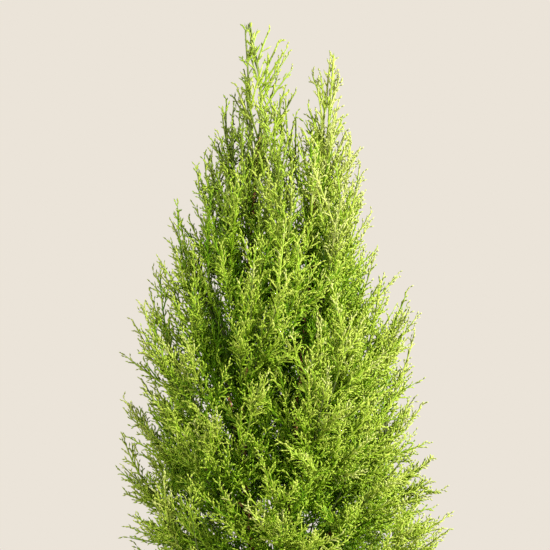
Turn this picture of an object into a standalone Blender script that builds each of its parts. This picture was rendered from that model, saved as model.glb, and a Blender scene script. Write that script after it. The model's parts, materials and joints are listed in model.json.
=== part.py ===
"""A young lemon cypress with two leaders, at real size: metres, +Z up, ground level at z = 0.

The trunk rises from a flared foot to a low fork, where two leaders part and run up through the
crown. Boughs spring from them round a golden spiral, sweep out and turn up. Each ends in a mass
of foliage: a stem with twigs and toothed blades, where a blade stands for one flat spray of
needles. Every mass keeps to its own space: the points nearer its line than any other's, give or
take SLACK.
"""

import math
import random

import bpy
from mathutils import Matrix, Quaternion, Vector
from mathutils.bvhtree import BVHTree
from mathutils.kdtree import KDTree

SEED = 1873
GOLDEN_ANGLE = math.radians(137.508)
UP = Vector((0, 0, 1))
CLEARANCE = 0.0003
ROUNDING = 0.0001

# Heights above the ground
FORK_HEIGHT = 0.105
LOWEST_LEAF = 0.030
LOWEST_BOUGH = 0.062
LOWEST_TIP = 0.090
SHOULDER = 0.600

# The crown's reach from the trunk's line at a height: to the left (-X) and to the right (+X)
CROWN_REACH = (
    (0.030, 0.062, 0.066),
    (0.100, 0.126, 0.132),
    (0.170, 0.150, 0.163),
    (0.250, 0.157, 0.170),
    (0.360, 0.158, 0.148),
    (0.420, 0.159, 0.134),
    (0.480, 0.146, 0.133),
    (0.540, 0.116, 0.104),
    (0.600, 0.094, 0.088),
    (0.660, 0.063, 0.074),
    (0.710, 0.040, 0.060),
    (0.760, 0.032, 0.052),
)
DEPTH_SHARE = 0.94

# How far a leaf may pass the crown's reach, and the middle between two masses' lines
STRAY = 0.008
SLACK = 0.008

# Trunk
TRUNK_RADIUS = 0.0078
FLARE = 0.0062
FLARE_HEIGHT = 0.012
ROOT_RIBS = 5
RIB_DEPTH = 0.2
TRUNK_SIDES = 12
TRUNK_RINGS = (0.0, 0.005, 0.012, 0.024, 0.045, 0.075, FORK_HEIGHT)
FORK_CENTRE = Vector((0.0005, 0.0015, FORK_HEIGHT))
FORK_SPREAD = 1.35
CREASE = math.radians(40)

# The leaders' lines. Over the last stretch of each, the topmost mass's stem takes over.
LEADER_RADII = (0.0040, 0.0012)
LEADER_SIDES = 6
LEADER_STEPS = 4
LEADER_START = FORK_HEIGHT + CLEARANCE
LEADER_LINES = {
    "left": (
        (-0.0046, 0.0010, LEADER_START),
        (-0.0240, -0.0060, 0.200),
        (-0.0360, -0.0100, 0.320),
        (-0.0350, -0.0110, 0.450),
        (-0.0270, -0.0080, 0.580),
        (-0.0190, -0.0050, 0.680),
        (-0.0300, -0.0040, 0.760),
    ),
    "right": (
        (0.0056, 0.0020, LEADER_START),
        (0.0080, 0.0070, 0.200),
        (0.0120, 0.0110, 0.320),
        (0.0250, 0.0120, 0.450),
        (0.0340, 0.0100, 0.570),
        (0.0430, 0.0060, 0.655),
        (0.0510, 0.0040, 0.731),
    ),
}
SIDES = tuple(LEADER_LINES)
TOP = LEADER_LINES["left"][-1][2]

# Boughs and the lines that they and their masses follow
LOWER_MASSES = 28
SPIRAL_START = math.radians(198)
UPPER_TIPS = {"left": (0.618, 0.650, 0.682, 0.708), "right": (0.612, 0.640, 0.664, 0.688)}
UPPER_START = {"left": math.radians(170), "right": math.radians(15)}
INNER_TIPS = {"left": (0.41, 0.50, 0.59), "right": (0.36, 0.455, 0.55)}
INNER_REACH = 0.058
INNER_TURN = math.radians(48)
BOUGH_SHARE = 0.40
SHORTEST_WITH_BOUGH = 0.180
BOUGH_SIDES = 5
BOUGH_STEPS = 4
BOUGH_RADII = (0.0024, 0.0015)
LEVEL_SWEEP = math.radians(31)
LEVEL_HEIGHT = 0.28
SWEEP_RISE = math.radians(108)
SWEEP_LIMITS = (math.radians(7), math.radians(74))
SWEEP_ROUNDS = 6
UPTURN = 0.42
LINE_STEPS = 24

# Stems and twigs
STEM_RADII = (0.0017, 0.0010)
STEM_SIDES = 3
STEM_STEPS = 3
TWIG_RADII = (0.0013, 0.0009)
TWIG_LENGTH = 0.034
TWIG_SPREAD = math.radians(47)
TWIG_TAPER = 1.1
TWIG_RISE = 0.35
AZIMUTH_TRIES = 4
LONG_MASS = 0.085
LONG_PLACES = (
    ("blade", 0.10),
    ("twig", 0.24),
    ("blade", 0.38),
    ("twig", 0.52),
    ("blade", 0.70),
    ("blade", 0.90),
)
SHORT_PLACES = (("blade", 0.15), ("blade", 0.50), ("blade", 0.85))

# Blades. Each tooth is a tip and the notch behind the next one, as shares of the blade's length
# and width from its root and rib, and the place along the rib where the tooth ends.
BLADE_LENGTH = 0.098
BLADE_WIDTH = 0.060
BLADE_OF_MASS = 0.68
BLADE_SPREAD = math.radians(33)
BLADE_TRIES = (1.0, 0.86, 0.72, 0.58)
BLADE_ROLLS = (0.0, math.radians(35), math.radians(-35), math.radians(70))
BLADE_WOBBLE = math.radians(15)
RIB_THICKNESSES = (0.0018, 0.0008)
ROOT_HALF_WIDTH = 0.0014
ROOT_DEPTH = 0.0006
TEETH = (
    ((0.42, 0.42), (0.34, 0.20), 0.29),
    ((0.72, 0.50), (0.60, 0.24), 0.54),
    ((0.92, 0.34), (0.82, 0.13), 0.77),
)
STAGGER = 0.06


def material(name, colour, roughness):
    """A Principled BSDF with one plain colour."""
    made = bpy.data.materials.new(name)
    made.use_nodes = True
    shader = made.node_tree.nodes["Principled BSDF"]
    shader.inputs["Base Color"].default_value = (*colour, 1)
    shader.inputs["Roughness"].default_value = roughness
    shader.inputs["Metallic"].default_value = 0
    return made


def lerp(a, b, t):
    return a + (b - a) * t


def reach(height):
    """The crown's reach to the left and to the right at a height."""
    height = min(max(height, CROWN_REACH[0][0]), CROWN_REACH[-1][0])
    for low, high in zip(CROWN_REACH, CROWN_REACH[1:]):
        if height <= high[0]:
            break
    t = (height - low[0]) / (high[0] - low[0])
    return lerp(low[1], high[1], t), lerp(low[2], high[2], t)


def smooth_line(points, steps):
    """Points along a Catmull-Rom curve through the given ones."""
    knots = [Vector(p) for p in points]
    knots = [2 * knots[0] - knots[1], *knots, 2 * knots[-1] - knots[-2]]
    line = []
    for a, b, c, d in zip(knots, knots[1:], knots[2:], knots[3:]):
        for i in range(steps):
            t = i / steps
            bend = (2 * a - 5 * b + 4 * c - d) * t**2 + (3 * b - a - 3 * c + d) * t**3
            line.append(0.5 * (2 * b + (c - a) * t + bend))
    return [*line, knots[-2]]


def leader_at(leaders, side, height):
    """The leader's centre at a height or, below the fork, the trunk's."""
    line = [Vector((0, 0, 0)), FORK_CENTRE, *leaders[side][1:]]
    for low, high in zip(line, line[1:]):
        if height <= high.z:
            break
    return low.lerp(high, (height - low.z) / (high.z - low.z))


def sweep(height):
    """The angle above level at which the bough whose tip is at this height rises."""
    angle = LEVEL_SWEEP + (height - LEVEL_HEIGHT) * SWEEP_RISE
    return min(max(angle, SWEEP_LIMITS[0]), SWEEP_LIMITS[1])


def bough_line(leaders, side, tip):
    """Points from the centre of a leader, or of the trunk, to a tip, turning up on the way."""
    base = tip.z
    for _ in range(SWEEP_ROUNDS):
        foot = leader_at(leaders, side, base)
        run = (tip.xy - foot.xy).length
        base = max(LOWEST_BOUGH, tip.z - run * math.tan(sweep(tip.z)))
    foot = leader_at(leaders, side, base)
    line = []
    for i in range(LINE_STEPS + 1):
        t = i / LINE_STEPS
        point = foot.lerp(tip, t)
        point.z = lerp(foot.z, tip.z, (1 - UPTURN) * t + UPTURN * t * t)
        line.append(point)
    return line


def spiral_heights(count, low, high, steps=200):
    """Heights that share out the crown's side evenly between two heights."""
    areas = [0.0]
    for i in range(steps):
        areas.append(areas[-1] + sum(reach(lerp(low, high, (i + 0.5) / steps))))
    heights = []
    for k in range(count):
        wanted = areas[-1] * (k + 0.5) / count
        i = next(i for i in range(steps) if areas[i + 1] >= wanted)
        heights.append(lerp(low, high, (i + 0.5) / steps))
    return heights


def mass_lines(leaders):
    """(name, side, line) for each mass, from its limb's centre to its tip."""
    lines = []
    for k, height in enumerate(spiral_heights(LOWER_MASSES, LOWEST_TIP, SHOULDER)):
        azimuth = SPIRAL_START + k * GOLDEN_ANGLE
        left, right = reach(height)
        side = "right" if math.cos(azimuth) > 0 else "left"
        across = right if side == "right" else left
        deep = DEPTH_SHARE * (left + right) / 2
        tip = Vector((across * math.cos(azimuth), deep * math.sin(azimuth), height))
        lines.append((f"{k + 1:02d}", side, bough_line(leaders, side, tip)))
    for side in SIDES:
        for k, height in enumerate(UPPER_TIPS[side]):
            azimuth = UPPER_START[side] + k * GOLDEN_ANGLE
            centre = leader_at(leaders, side, height)
            radius = reach(height)[SIDES.index(side)] - abs(centre.x)
            tip = centre + radius * Vector((math.cos(azimuth), math.sin(azimuth), 0))
            lines.append((f"{side}_{k + 1}", side, bough_line(leaders, side, tip)))
        for k, height in enumerate(INNER_TIPS[side]):
            centre = leader_at(leaders, side, height)
            towards = 1 if side == "left" else -1
            turn = INNER_TURN * towards * (-1) ** k
            across = Vector((towards * math.cos(turn), math.sin(turn), 0))
            tip = centre + INNER_REACH * across
            lines.append((f"inner_{side}_{k + 1}", side, bough_line(leaders, side, tip)))
        last = leaders[side][-LEADER_STEPS - 1:]
        lines.append((f"{side}_top", side, stretch_of(last, 0, length_of(last), LINE_STEPS)))
    return lines


def length_of(line):
    return sum((b - a).length for a, b in zip(line, line[1:]))


def point_on(line, distance):
    """The point and direction at a distance along a line."""
    for a, b in zip(line, line[1:]):
        step = (b - a).length
        if distance <= step:
            break
        distance -= step
    direction = (b - a).normalized()
    return a + direction * distance, direction


def stretch_of(line, start, end, steps):
    """Evenly spaced points along a line between two distances."""
    return [point_on(line, lerp(start, end, i / steps))[0] for i in range(steps + 1)]


def frames_along(line, first_direction=None):
    """(across, upward) at each point of a line, turned as little as possible on the way."""
    directions = []
    for i in range(len(line)):
        before, after = line[max(i - 1, 0)], line[min(i + 1, len(line) - 1)]
        directions.append((after - before).normalized())
    if first_direction is not None:
        directions[0] = first_direction
    across = directions[0].orthogonal().normalized()
    frames = []
    for along in directions:
        across = (across - across.dot(along) * along).normalized()
        frames.append((across, along.cross(across)))
    return frames


def tube_faces(rings, sides):
    """Faces of a closed tube over rings of points, with flat ends."""
    faces = []
    for i in range(rings - 1):
        for k in range(sides):
            a, b = i * sides + k, i * sides + (k + 1) % sides
            faces.append((a, b, b + sides, a + sides))
    faces.append(tuple(reversed(range(sides))))
    faces.append(tuple(range((rings - 1) * sides, rings * sides)))
    return faces


def tube(line, radii, sides, first_direction=None):
    """(points, faces) of a round limb that tapers evenly from ring to ring."""
    points = []
    for i, (across, upward) in enumerate(frames_along(line, first_direction)):
        radius = lerp(*radii, i / (len(line) - 1))
        for k in range(sides):
            angle = 2 * math.pi * k / sides
            points.append(line[i] + radius * (math.cos(angle) * across + math.sin(angle) * upward))
    return points, tube_faces(len(line), sides)


def trunk_shape():
    """(points, faces) of the trunk, with root ribs at its foot, widened for two leaders on top."""
    points = []
    for height in TRUNK_RINGS:
        rise = height / FORK_HEIGHT
        flare = math.exp(-height / FLARE_HEIGHT)
        widen = lerp(1, FORK_SPREAD, rise**3)
        for k in range(TRUNK_SIDES):
            angle = 2 * math.pi * k / TRUNK_SIDES
            rib = 1 + RIB_DEPTH * flare * math.cos(ROOT_RIBS * angle)
            radius = (TRUNK_RADIUS + FLARE * flare) * rib
            across = FORK_CENTRE.x * rise + radius * widen * math.cos(angle)
            deep = FORK_CENTRE.y * rise + radius * math.sin(angle)
            points.append(Vector((across, deep, height)))
    return points, tube_faces(len(TRUNK_RINGS), TRUNK_SIDES)


def blade_shape(place, length, width, lift=0.0):
    """(points, faces) of a toothed blade, flat below and raised along its rib.

    place carries the blade's own axes, along, across and through, to where it grows.
    """
    low = lift - ROOT_DEPTH
    points = [(0, 0, low + RIB_THICKNESSES[0])]
    points += [(rib * length, 0, low + lerp(*RIB_THICKNESSES, rib)) for _, _, rib in TEETH]
    apex = len(points)
    points.append((length, 0, low))
    faces, edges = [], []
    for side in (1, -1):
        root = len(points)
        shift = 0 if side > 0 else STAGGER
        points.append((0, side * ROOT_HALF_WIDTH, low))
        for (tip, tip_out), (notch, notch_out), _ in TEETH:
            points.append(((tip - shift) * length, side * tip_out * width, low))
            points.append(((notch - shift / 2) * length, side * notch_out * width, low))
        upper = []
        for i in range(len(TEETH)):
            notch = root + 2 * i
            ring = (notch, notch + 1, notch + 2, i + 1)
            upper += [(i, b, a) for a, b in zip(ring, ring[1:])]
        upper.append((apex - 1, apex, len(points) - 1))
        faces += [face if side > 0 else face[::-1] for face in upper]
        edges.append(tuple(range(root, len(points))))
    faces.append((*edges[0], apex, *reversed(edges[1])))
    faces.append((0, edges[0][0], edges[1][0]))
    return [place @ Vector(p) for p in points], faces


def merged(shapes):
    """(points, faces) of several shapes together."""
    points, faces = [], []
    for more, rings in shapes:
        faces += [tuple(i + len(points) for i in ring) for ring in rings]
        points += more
    return points, faces


def facing(origin, along, outward):
    """The place of a blade at origin, pointing along, with its flat side to outward."""
    through = (outward - outward.dot(along) * along).normalized()
    across = through.cross(along)
    turned = Matrix((along, across, through)).transposed().to_4x4()
    return Matrix.Translation(origin) @ turned


def solid(name, shape, finish):
    """An object with this mesh, linked to the scene."""
    mesh = bpy.data.meshes.new(name)
    mesh.from_pydata([tuple(p) for p in shape[0]], [], shape[1])
    mesh.materials.append(finish)
    made = bpy.data.objects.new(name, mesh)
    bpy.context.scene.collection.objects.link(made)
    return made


def limb(name, shape, finish, spaces):
    """A trunk, leader or bough, smooth to look at, whose room is marked as taken."""
    spaces.add(shape)
    mesh = solid(name, shape, finish).data
    mesh.shade_smooth()
    mesh.set_sharp_from_angle(angle=CREASE)


def fused(name, shapes, finish):
    """One object from overlapping closed shapes, by a Boolean union on their collection."""
    body = solid(name, shapes[0], finish)
    others = bpy.data.collections.new(name + "_pieces")
    for i, shape in enumerate(shapes[1:]):
        piece = solid(f"{name}_piece_{i}", shape, finish)
        bpy.context.scene.collection.objects.unlink(piece)
        others.objects.link(piece)
    union = body.modifiers.new("union", "BOOLEAN")
    union.operation = "UNION"
    union.operand_type = "COLLECTION"
    union.collection = others
    union.solver = "MANIFOLD"
    bpy.context.view_layer.update()
    evaluated = body.evaluated_get(bpy.context.evaluated_depsgraph_get())
    joined = bpy.data.meshes.new_from_object(evaluated)
    body.modifiers.clear()
    body.data = joined
    for piece in list(others.objects):
        bpy.data.objects.remove(piece)
    bpy.data.collections.remove(others)


class Spaces:
    """Which mass's space a point lies in, and what has grown there so far."""

    def __init__(self, lines):
        self.lines = [line for _, _, line in lines]
        spots = [spot for line in self.lines for spot in line[LINE_STEPS // 5:]]
        self.tree = KDTree(len(spots))
        for i, spot in enumerate(spots):
            self.tree.insert(spot, i)
        self.tree.balance()
        self.grown = []

    def holds(self, mass, point):
        """Whether a point is in this mass's space and inside the crown."""
        left, right = reach(point.z)
        across = (right if point.x > 0 else left) + STRAY
        deep = DEPTH_SHARE * (left + right) / 2 + STRAY
        inside = (point.x / across) ** 2 + (point.y / deep) ** 2 < 1
        in_height = LOWEST_LEAF < point.z < TOP + CLEARANCE
        nearest = self.tree.find(point)[2]
        own = min((point - spot).length for spot in self.lines[mass])
        return inside and in_height and own < nearest + SLACK

    def add(self, shape):
        """Marks a shape's room as taken and gives the mark."""
        self.grown.append(BVHTree.FromPolygons(*shape))
        return self.grown[-1]

    def free(self, guard, own=None):
        """Whether a shape is clear of all that has grown but its own stem."""
        tree = BVHTree.FromPolygons(*guard)
        return not any(other is not own and tree.overlap(other) for other in self.grown)


class Mass:
    """One mass of foliage while it grows: closed shapes that overlap, to be fused."""

    def __init__(self, number, name, line, start, spaces):
        self.number, self.name, self.spaces = number, name, spaces
        self.rng = random.Random(SEED + number)
        self.length = length_of(line) - start
        self.size = min(BLADE_LENGTH, self.length * BLADE_OF_MASS)
        stem_end = start + self.length - self.size + STEM_RADII[1]
        self.stem = stretch_of(line, start, stem_end, STEM_STEPS)
        self.tip = line[-1]
        self.shapes = [tube(self.stem, STEM_RADII, STEM_SIDES)]
        self.mark = spaces.add(self.shapes[0])

    def fitting_blade(self, origin, along, outward):
        """The largest blade that stays in the space and clear of all else, or None."""
        for share in BLADE_TRIES:
            length = self.size * share
            width = length * BLADE_WIDTH / BLADE_LENGTH
            for roll in BLADE_ROLLS:
                roll += self.rng.uniform(-BLADE_WOBBLE, BLADE_WOBBLE)
                place = facing(origin, along, Quaternion(along, roll) @ outward)
                shape = blade_shape(place, length, width)
                if not all(self.spaces.holds(self.number, p) for p in shape[0][len(TEETH) + 1:]):
                    continue
                lifts = (-CLEARANCE, CLEARANCE)
                guard = merged([blade_shape(place, length, width, lift) for lift in lifts])
                if self.spaces.free(guard, self.mark):
                    return shape
        return None

    def grow_blade(self, origin, along, outward):
        """Adds a blade and tells whether there was room for it."""
        blade = self.fitting_blade(origin, along, outward)
        if blade is not None:
            self.shapes.append(blade)
            self.spaces.add(blade)
        return blade is not None

    def grow_twig(self, origin, along, outward, length):
        """Adds a twig with a blade at its end and tells whether there was room for both."""
        end = origin + along * length
        guard = tube([origin, end], [radius + CLEARANCE for radius in TWIG_RADII], STEM_SIDES)
        if not self.spaces.holds(self.number, end) or not self.spaces.free(guard, self.mark):
            return False
        rise = (along + TWIG_RISE * UP).normalized()
        if not self.grow_blade(end - along * TWIG_RADII[1], rise, outward):
            return False
        twig = tube([origin, end], TWIG_RADII, STEM_SIDES)
        self.shapes.append(twig)
        self.spaces.add(twig)
        return True

    def grow(self):
        """A blade at the stem's end, then twigs and blades round it by the golden angle."""
        end = self.stem[-1]
        along = (self.tip - end).normalized()
        self.grow_blade(end - along * STEM_RADII[1], along, Vector((end.x, end.y, 0)))
        azimuth = self.rng.uniform(0, 2 * math.pi)
        run = length_of(self.stem)
        for kind, share in LONG_PLACES if self.length > LONG_MASS else SHORT_PLACES:
            at, along = point_on(self.stem, share * run)
            for _ in range(AZIMUTH_TRIES):
                azimuth += GOLDEN_ANGLE
                outward = Quaternion(along, azimuth) @ along.orthogonal().normalized()
                spread = TWIG_SPREAD if kind == "twig" else BLADE_SPREAD
                turned = along * math.cos(spread) + outward * math.sin(spread)
                if kind == "twig":
                    length = TWIG_LENGTH * (TWIG_TAPER - share)
                    grew = self.grow_twig(at, turned, outward, length)
                else:
                    grew = self.grow_blade(at, turned, outward)
                if grew:
                    break


def clear_start(line, end, radii, sides, spaces):
    """The distance along a line from which a tube up to end is clear of the limbs so far."""
    start = 0.0
    grown = [radius + CLEARANCE for radius in radii]
    while True:
        guard = tube(stretch_of(line, start - CLEARANCE, end, STEM_STEPS), grown, sides)
        if spaces.free(guard):
            return start
        start += ROUNDING


def build():
    for old in list(bpy.data.objects):
        bpy.data.objects.remove(old)
    bark = material("bark", (0.30, 0.17, 0.10), 0.85)
    leaf = material("foliage", (0.42, 0.60, 0.07), 0.6)
    leaders = {side: smooth_line(LEADER_LINES[side], LEADER_STEPS) for side in SIDES}
    lines = mass_lines(leaders)
    spaces = Spaces(lines)

    limb("trunk", trunk_shape(), bark, spaces)
    for side in SIDES:
        shape = tube(leaders[side][:-LEADER_STEPS], LEADER_RADII, LEADER_SIDES, UP)
        limb(f"leader_{side}", shape, bark, spaces)

    masses = []
    for number, (name, _, line) in enumerate(lines):
        whole = length_of(line)
        if name.endswith("top"):
            start = 2 * CLEARANCE
        elif whole > SHORTEST_WITH_BOUGH:
            end = whole * BOUGH_SHARE
            start = clear_start(line, end, BOUGH_RADII, BOUGH_SIDES, spaces)
            shape = tube(stretch_of(line, start, end, BOUGH_STEPS), BOUGH_RADII, BOUGH_SIDES)
            limb(f"bough_{name}", shape, bark, spaces)
            start = end + CLEARANCE
        else:
            start = clear_start(line, whole * BOUGH_SHARE, STEM_RADII, STEM_SIDES, spaces)
        masses.append(Mass(number, f"foliage_{name}", line, start, spaces))
    for mass in masses:
        mass.grow()
    for mass in masses:
        fused(mass.name, mass.shapes, leaf)


build()
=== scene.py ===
"""Looks for the young lemon cypress: limbs with bark relief, and feathery sprays of scale needles.

The sprays grow from the same lines as the solids' masses of foliage, by the same rule, carried on
to finer twigs. Side stems spring between the masses' own stems, and all stems bear branches. The
branches and the leaders bear plumes, branches and plumes bear shoots, and shoots bear buds. Lone
branches stand out of the crown. All lengths are in metres.
"""

import json
import math

import bpy
import numpy as np
from mathutils.kdtree import KDTree
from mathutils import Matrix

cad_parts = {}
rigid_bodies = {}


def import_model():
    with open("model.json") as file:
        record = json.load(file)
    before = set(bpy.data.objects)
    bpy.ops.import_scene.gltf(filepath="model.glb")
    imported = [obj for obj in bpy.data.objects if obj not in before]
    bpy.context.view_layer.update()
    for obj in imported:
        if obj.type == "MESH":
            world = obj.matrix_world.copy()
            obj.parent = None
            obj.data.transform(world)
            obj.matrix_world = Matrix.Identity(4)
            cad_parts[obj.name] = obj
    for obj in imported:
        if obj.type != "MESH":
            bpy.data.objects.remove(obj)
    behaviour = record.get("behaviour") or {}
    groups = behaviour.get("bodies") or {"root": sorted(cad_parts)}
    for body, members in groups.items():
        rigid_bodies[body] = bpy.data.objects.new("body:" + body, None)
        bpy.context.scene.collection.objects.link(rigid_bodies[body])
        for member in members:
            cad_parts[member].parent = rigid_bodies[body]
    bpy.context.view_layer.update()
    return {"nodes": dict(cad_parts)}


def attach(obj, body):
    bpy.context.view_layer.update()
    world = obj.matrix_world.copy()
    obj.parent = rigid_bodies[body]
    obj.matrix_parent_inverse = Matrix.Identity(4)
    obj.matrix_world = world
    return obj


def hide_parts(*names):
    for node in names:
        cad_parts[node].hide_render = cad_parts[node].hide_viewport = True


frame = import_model()

SEED = 1873
GOLDEN_ANGLE = math.radians(137.508)
UP = np.array((0.0, 0.0, 1.0))
LEVEL_PART = np.array((1.0, 1.0, 0.0))
NEARLY_UPRIGHT = 0.9

# Heights above the ground
FORK_HEIGHT = 0.105
LOWEST_LEAF = 0.030
LOWEST_BOUGH = 0.062
LOWEST_TIP = 0.090
SHOULDER = 0.600
NOTCH_HEIGHT = 0.655

# The crown's reach from the trunk's line at a height: to the left (-X) and to the right (+X)
CROWN_REACH = np.array((
    (0.030, 0.062, 0.066),
    (0.100, 0.126, 0.132),
    (0.170, 0.150, 0.163),
    (0.250, 0.157, 0.170),
    (0.360, 0.158, 0.148),
    (0.420, 0.159, 0.134),
    (0.480, 0.146, 0.133),
    (0.540, 0.116, 0.104),
    (0.600, 0.094, 0.088),
    (0.660, 0.063, 0.074),
    (0.710, 0.040, 0.060),
    (0.760, 0.032, 0.052),
))

# The crown's depth as a share of its width, and how far past its reach a tip may stray
DEPTH_SHARE = 0.94
STRAY = 0.008

# Above the notch, the reach of each leader's own crown towards the other leader
NOTCH_WIDTHS = {"left": 0.038, "right": 0.024}

# Trunk and leaders
TRUNK_RADIUS = 0.0078
FLARE = 0.0062
FLARE_HEIGHT = 0.012
ROOT_RIBS = 5
RIB_DEPTH = 0.2
FORK_CENTRE = (0.0005, 0.0015, FORK_HEIGHT)
FORK_SPREAD = 1.35
LEADER_RADII = (0.0040, 0.0012)
LEADER_LINES = {
    "left": (
        (-0.0046, 0.0010, FORK_HEIGHT),
        (-0.0240, -0.0060, 0.200),
        (-0.0360, -0.0100, 0.320),
        (-0.0350, -0.0110, 0.450),
        (-0.0270, -0.0080, 0.580),
        (-0.0190, -0.0050, 0.680),
        (-0.0300, -0.0040, 0.760),
    ),
    "right": (
        (0.0056, 0.0020, FORK_HEIGHT),
        (0.0080, 0.0070, 0.200),
        (0.0120, 0.0110, 0.320),
        (0.0250, 0.0120, 0.450),
        (0.0340, 0.0100, 0.570),
        (0.0430, 0.0060, 0.655),
        (0.0510, 0.0040, 0.731),
    ),
}
SIDES = tuple(LEADER_LINES)
LEADER_STEPS = 4
TOP = LEADER_LINES["left"][-1][2]

# The lines of the boughs and masses
LOWER_MASSES = 28
SPIRAL_START = math.radians(198)
UPPER_TIPS = {"left": (0.618, 0.650, 0.682, 0.708), "right": (0.612, 0.640, 0.664, 0.688)}
UPPER_START = {"left": math.radians(170), "right": math.radians(15)}
INNER_TIPS = {"left": (0.41, 0.50, 0.59), "right": (0.36, 0.455, 0.55)}
INNER_REACH = 0.058
INNER_TURN = math.radians(48)
BOUGH_SHARE = 0.40
SHORTEST_WITH_BOUGH = 0.180
LEVEL_SWEEP = math.radians(31)
LEVEL_HEIGHT = 0.28
SWEEP_RISE = math.radians(108)
SWEEP_LIMITS = (math.radians(7), math.radians(74))
SWEEP_ROUNDS = 6
UPTURN = 0.42
LINE_STEPS = 24
BOUGH_RADII = (0.0024, 0.0016)
STEM_RADII = (0.0017, 0.0005)

# The leaders' bark begins inside the trunk, this share of the way from a point in it to the fork
INSIDE_TRUNK = (0, 0.001, 0.085)
INSIDE_SHARE = 0.4

# Points along the limbs that twigs keep clear of, and how clear
LEADER_SPOTS = 240
BOUGH_SPOTS = 40
LIMB_ROOM = 0.0030

# Bark: rings and sides of the limbs, and the furrows between its ridges
RING_SPACING = 0.0016
TRUNK_SIDES = 44
LEADER_SIDES = 26
BOUGH_SIDES = 18
STEM_SIDES = 6
FURROW_SHARE = 0.11
FURROW_WIDTH = 0.35
RIDGE_WAVES = 7
RIDGES_AROUND = (2, 9)
RIDGES_ALONG = 210
RIDGE_SIZES = (0.3, 0.6)

# Numbers that seed the bark of each limb and the growth of the twigs
GROWTH_SEED = 2
TRUNK_SEED = 11
LEADER_SEED = 20
BOUGH_SEED = 40
STEM_SEED = 100

# Tips: how their depths follow each other, and how they crowd outwards and low on the tops
DEPTH_TURN = 0.7548777
CROWDING = 0.68
TOP_CROWDING = 2.1

# Feet along the limbs, and how far off a foot's rise, length and turn may be at a cost of one
FOOT_SPACING = 0.006
FOOT_RANGE = (0.10, 0.92)
RISE_SCATTER = 0.18
RISE_LEEWAY = 0.26
LENGTH_LEEWAY = 0.35
TURN_LEEWAY = 0.6
TOO_SHORT_COST = 1000.0

# Above this height nothing springs from the other leader's side if it can help it
PARTED_HEIGHT = 0.60
CROSSING_COST = 8.0

# How many feet are tried, how far apart in order of cost, and the bend of the lines from them
FEET_TRIED = 5
FEET_APART = 3
CURVE_STEPS = 6
LEAD_ALONG = 0.35
LEAD_SCATTER = 0.06
LEAD_LENGTH = 0.5
SAG = 0.26

# Spreads that several kinds of twig share: of lengths, thicknesses and places in a row
LENGTH_SPREAD = (0.7, 1.2)
THICKNESS_SPREAD = (0.8, 1.15)
PLACE_SPREAD = (0.2, 0.8)

# The leaders' bark ends at this share of their length, and green wood begins at the other
BARK_SHARE = 0.825
GREEN_SHARE = 0.785
GREEN_RADII = (0.0016, 0.0007)
GREEN_STEM_SHARE = 0.7

# Side stems between the masses' own, with a few on each leader's top
SIDE_STEMS = 150
SIDE_STEM_START = 0.4
SIDE_STEM_DEPTHS = (0.55, 0.98)
SIDE_STEM_LENGTH = 0.150
SIDE_STEM_STEEPER = math.radians(4)
STEEPEST = math.radians(74)
SIDE_STEM_STEPS = 10
SIDE_STEM_SIDES = 5
SIDE_STEM_RADII = (0.0012, 0.0006)
TOP_STEMS = {"left": 4, "right": 3}

# Branches on all stems. The end of each stem is one too.
BRANCHES = 1600
BRANCH_START = 0.35
BRANCH_DEPTHS = (0.24, 1.00)
LOWEST_BRANCH_TIP = 0.045
SHORTEST_BRANCH = 0.028
TOP_BRANCHES = {"left": 35, "right": 17}
BRANCH_RADIUS = 0.00105
END_LENGTH = 0.070
LONGEST_END = 0.6

# How steeply branches rise, in degrees, and how long they are, by the height of their tips
BRANCH_HABIT = np.array((
    (0.05, 8, 0.070),
    (0.28, 24, 0.072),
    (0.40, 45, 0.075),
    (0.50, 63, 0.080),
    (0.61, 73, 0.082),
    (0.68, 68, 0.048),
    (0.76, 64, 0.030),
))
FLATTER_TO_THE_RIGHT = 13

# To the left of this place across the crown is more open: the share of branches kept, by height
OPEN_SIDE = -0.02
OPEN_SHARES = np.array((
    (0.23, 1.00),
    (0.28, 0.78),
    (0.40, 0.72),
    (0.50, 0.54),
    (0.59, 0.60),
    (0.60, 1.00),
))

# Between the first two heights only lone branches reach past the third number, which is across
HOLLOWS = ((0.405, 0.465, -0.124), (0.485, 0.575, 0.098))

# Tips of lone branches that stand out of the crown where it shows: across and up
LONE_TIPS = (
    (-0.022, 0.755), (0.001, 0.745), (0.010, 0.731), (0.014, 0.716), (-0.040, 0.713),
    (0.017, 0.694), (0.006, 0.690), (0.016, 0.672), (0.013, 0.655), (0.022, 0.664), (0.027, 0.680),
    (-0.034, 0.704), (-0.040, 0.690), (-0.046, 0.680), (-0.053, 0.684), (-0.049, 0.690),
    (-0.044, 0.700), (-0.058, 0.671), (-0.069, 0.646), (-0.076, 0.632), (-0.084, 0.616),
    (-0.105, 0.567), (-0.112, 0.545), (-0.120, 0.519),
    (-0.131, 0.495), (-0.149, 0.466), (-0.158, 0.430), (-0.158, 0.387), (-0.158, 0.350),
    (-0.162, 0.314), (-0.154, 0.290), (-0.150, 0.268), (-0.156, 0.246),
    (0.036, 0.701), (0.040, 0.713), (0.059, 0.707), (0.065, 0.668), (0.076, 0.661), (0.080, 0.635),
    (0.083, 0.591), (0.092, 0.565),
    (0.098, 0.535), (0.102, 0.503), (0.120, 0.511), (0.128, 0.495), (0.140, 0.471), (0.131, 0.440),
    (0.132, 0.410), (0.144, 0.381), (0.150, 0.341), (0.154, 0.327), (0.154, 0.303), (0.167, 0.295),
    (0.172, 0.270), (0.158, 0.262), (0.160, 0.239),
)
LONE_SCATTER = 0.004
LONE_LONGER = 1.12

# The other lone branches, all round the crown
OTHER_LONE_TIPS = 84
LONE_START = 0.7
LONE_DEPTHS = (0.98, 1.04)
NO_TOPS = {"left": 0, "right": 0}

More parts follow.
